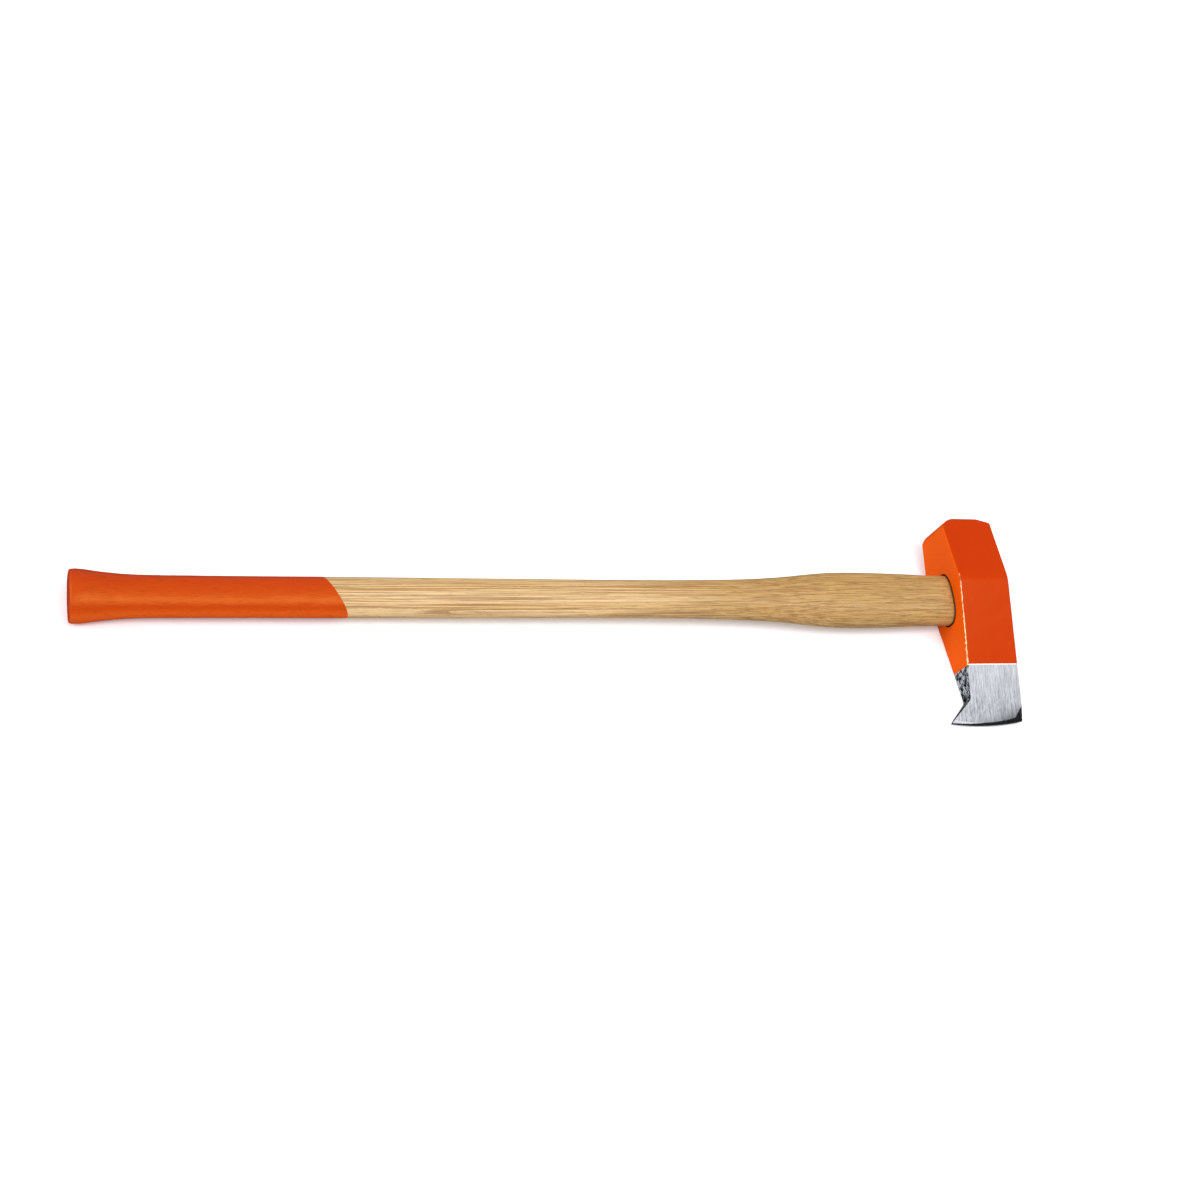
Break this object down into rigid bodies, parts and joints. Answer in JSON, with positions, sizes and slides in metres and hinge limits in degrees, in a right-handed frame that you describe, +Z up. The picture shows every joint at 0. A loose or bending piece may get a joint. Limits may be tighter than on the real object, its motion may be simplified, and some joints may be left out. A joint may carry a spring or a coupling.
{
  "type": "splitting maul",
  "caption": "Long-handled splitting maul: a heavy wedge-shaped steel head with a turning nose beside its edge, a hammer poll, and a straight wooden handle with a flared knob.",
  "frame": {"origin": "bottom centre of the box round the whole tool, on the floor that it lies on", "axes": "+Z up from the floor, +X from the knob of the handle to the head, +Y from the cutting edge to the poll; the tool lies on one cheek of its head and on the knob"},
  "size_m": [0.9034, 0.2138, 0.0656],
  "materials": {
    "head_paint": "glossy orange lacquer down to the ground bit, which is bare brushed steel",
    "hickory": "clear satin varnish, the last third dipped in glossy orange paint",
    "wedge_wood": "bare wood, trimmed flush with the tenon",
    "ring_steel": "plain turned steel"
  },
  "bodies": {
    "root": {"head": "head_paint", "handle": "hickory", "wood_wedge": "wedge_wood", "ring_wedge": "ring_steel"}
  },
  "joints": []
}
